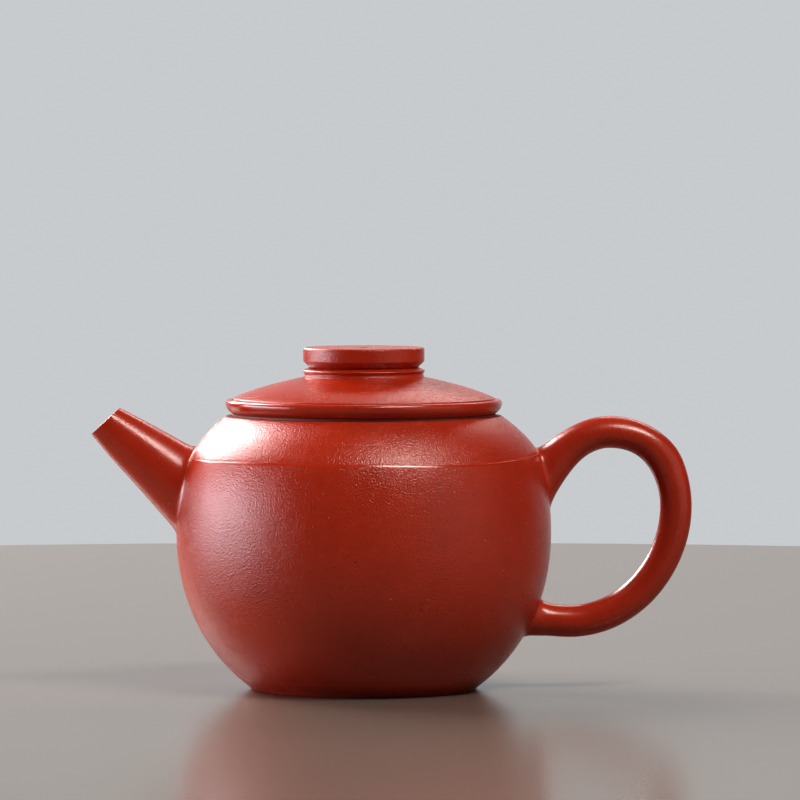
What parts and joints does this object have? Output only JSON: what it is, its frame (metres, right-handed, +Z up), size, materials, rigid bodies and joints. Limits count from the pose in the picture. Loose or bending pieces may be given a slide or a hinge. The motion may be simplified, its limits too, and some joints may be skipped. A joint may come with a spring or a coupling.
{
  "type": "teapot",
  "caption": "Small round clay teapot with a straight spout, an ear-shaped handle and a low lid with a flat disc knob.",
  "frame": {"origin": "centre of the standing ring, on the surface that the pot stands on", "axes": "+Z up along the pot's axis, +X towards the handle, -X towards the spout"},
  "size_m": [0.1344, 0.084, 0.0765],
  "materials": {
    "pot_clay": "satin unglazed red clay with a fine pebbled skin",
    "smooth_clay": "satin unglazed red clay, rubbed smooth",
    "lid_clay": "satin unglazed red clay with a fine pebbled skin"
  },
  "bodies": {
    "pot": {"base_disc": "pot_clay", "body_wall": "pot_clay", "shoulder": "pot_clay", "mouth_rim": "pot_clay", "spout": "smooth_clay", "strainer": "smooth_clay", "handle": "smooth_clay"},
    "lid_collar": {"lid_flange": "lid_clay"},
    "lid": {"lid_plate": "lid_clay", "lid_bead": "lid_clay", "knob_neck": "lid_clay", "knob_disc": "lid_clay"}
  },
  "joints": [
    {"name": "lid_lift", "type": "slide", "parent": "pot", "child": "lid_collar", "axis": [0, 0, 1], "range_m": [0, 0.06]},
    {"name": "lid_turn", "type": "hinge", "parent": "lid_collar", "child": "lid", "pos_m": [0, 0, 0.06175], "axis": [0, 0, 1], "continuous": true}
  ]
}
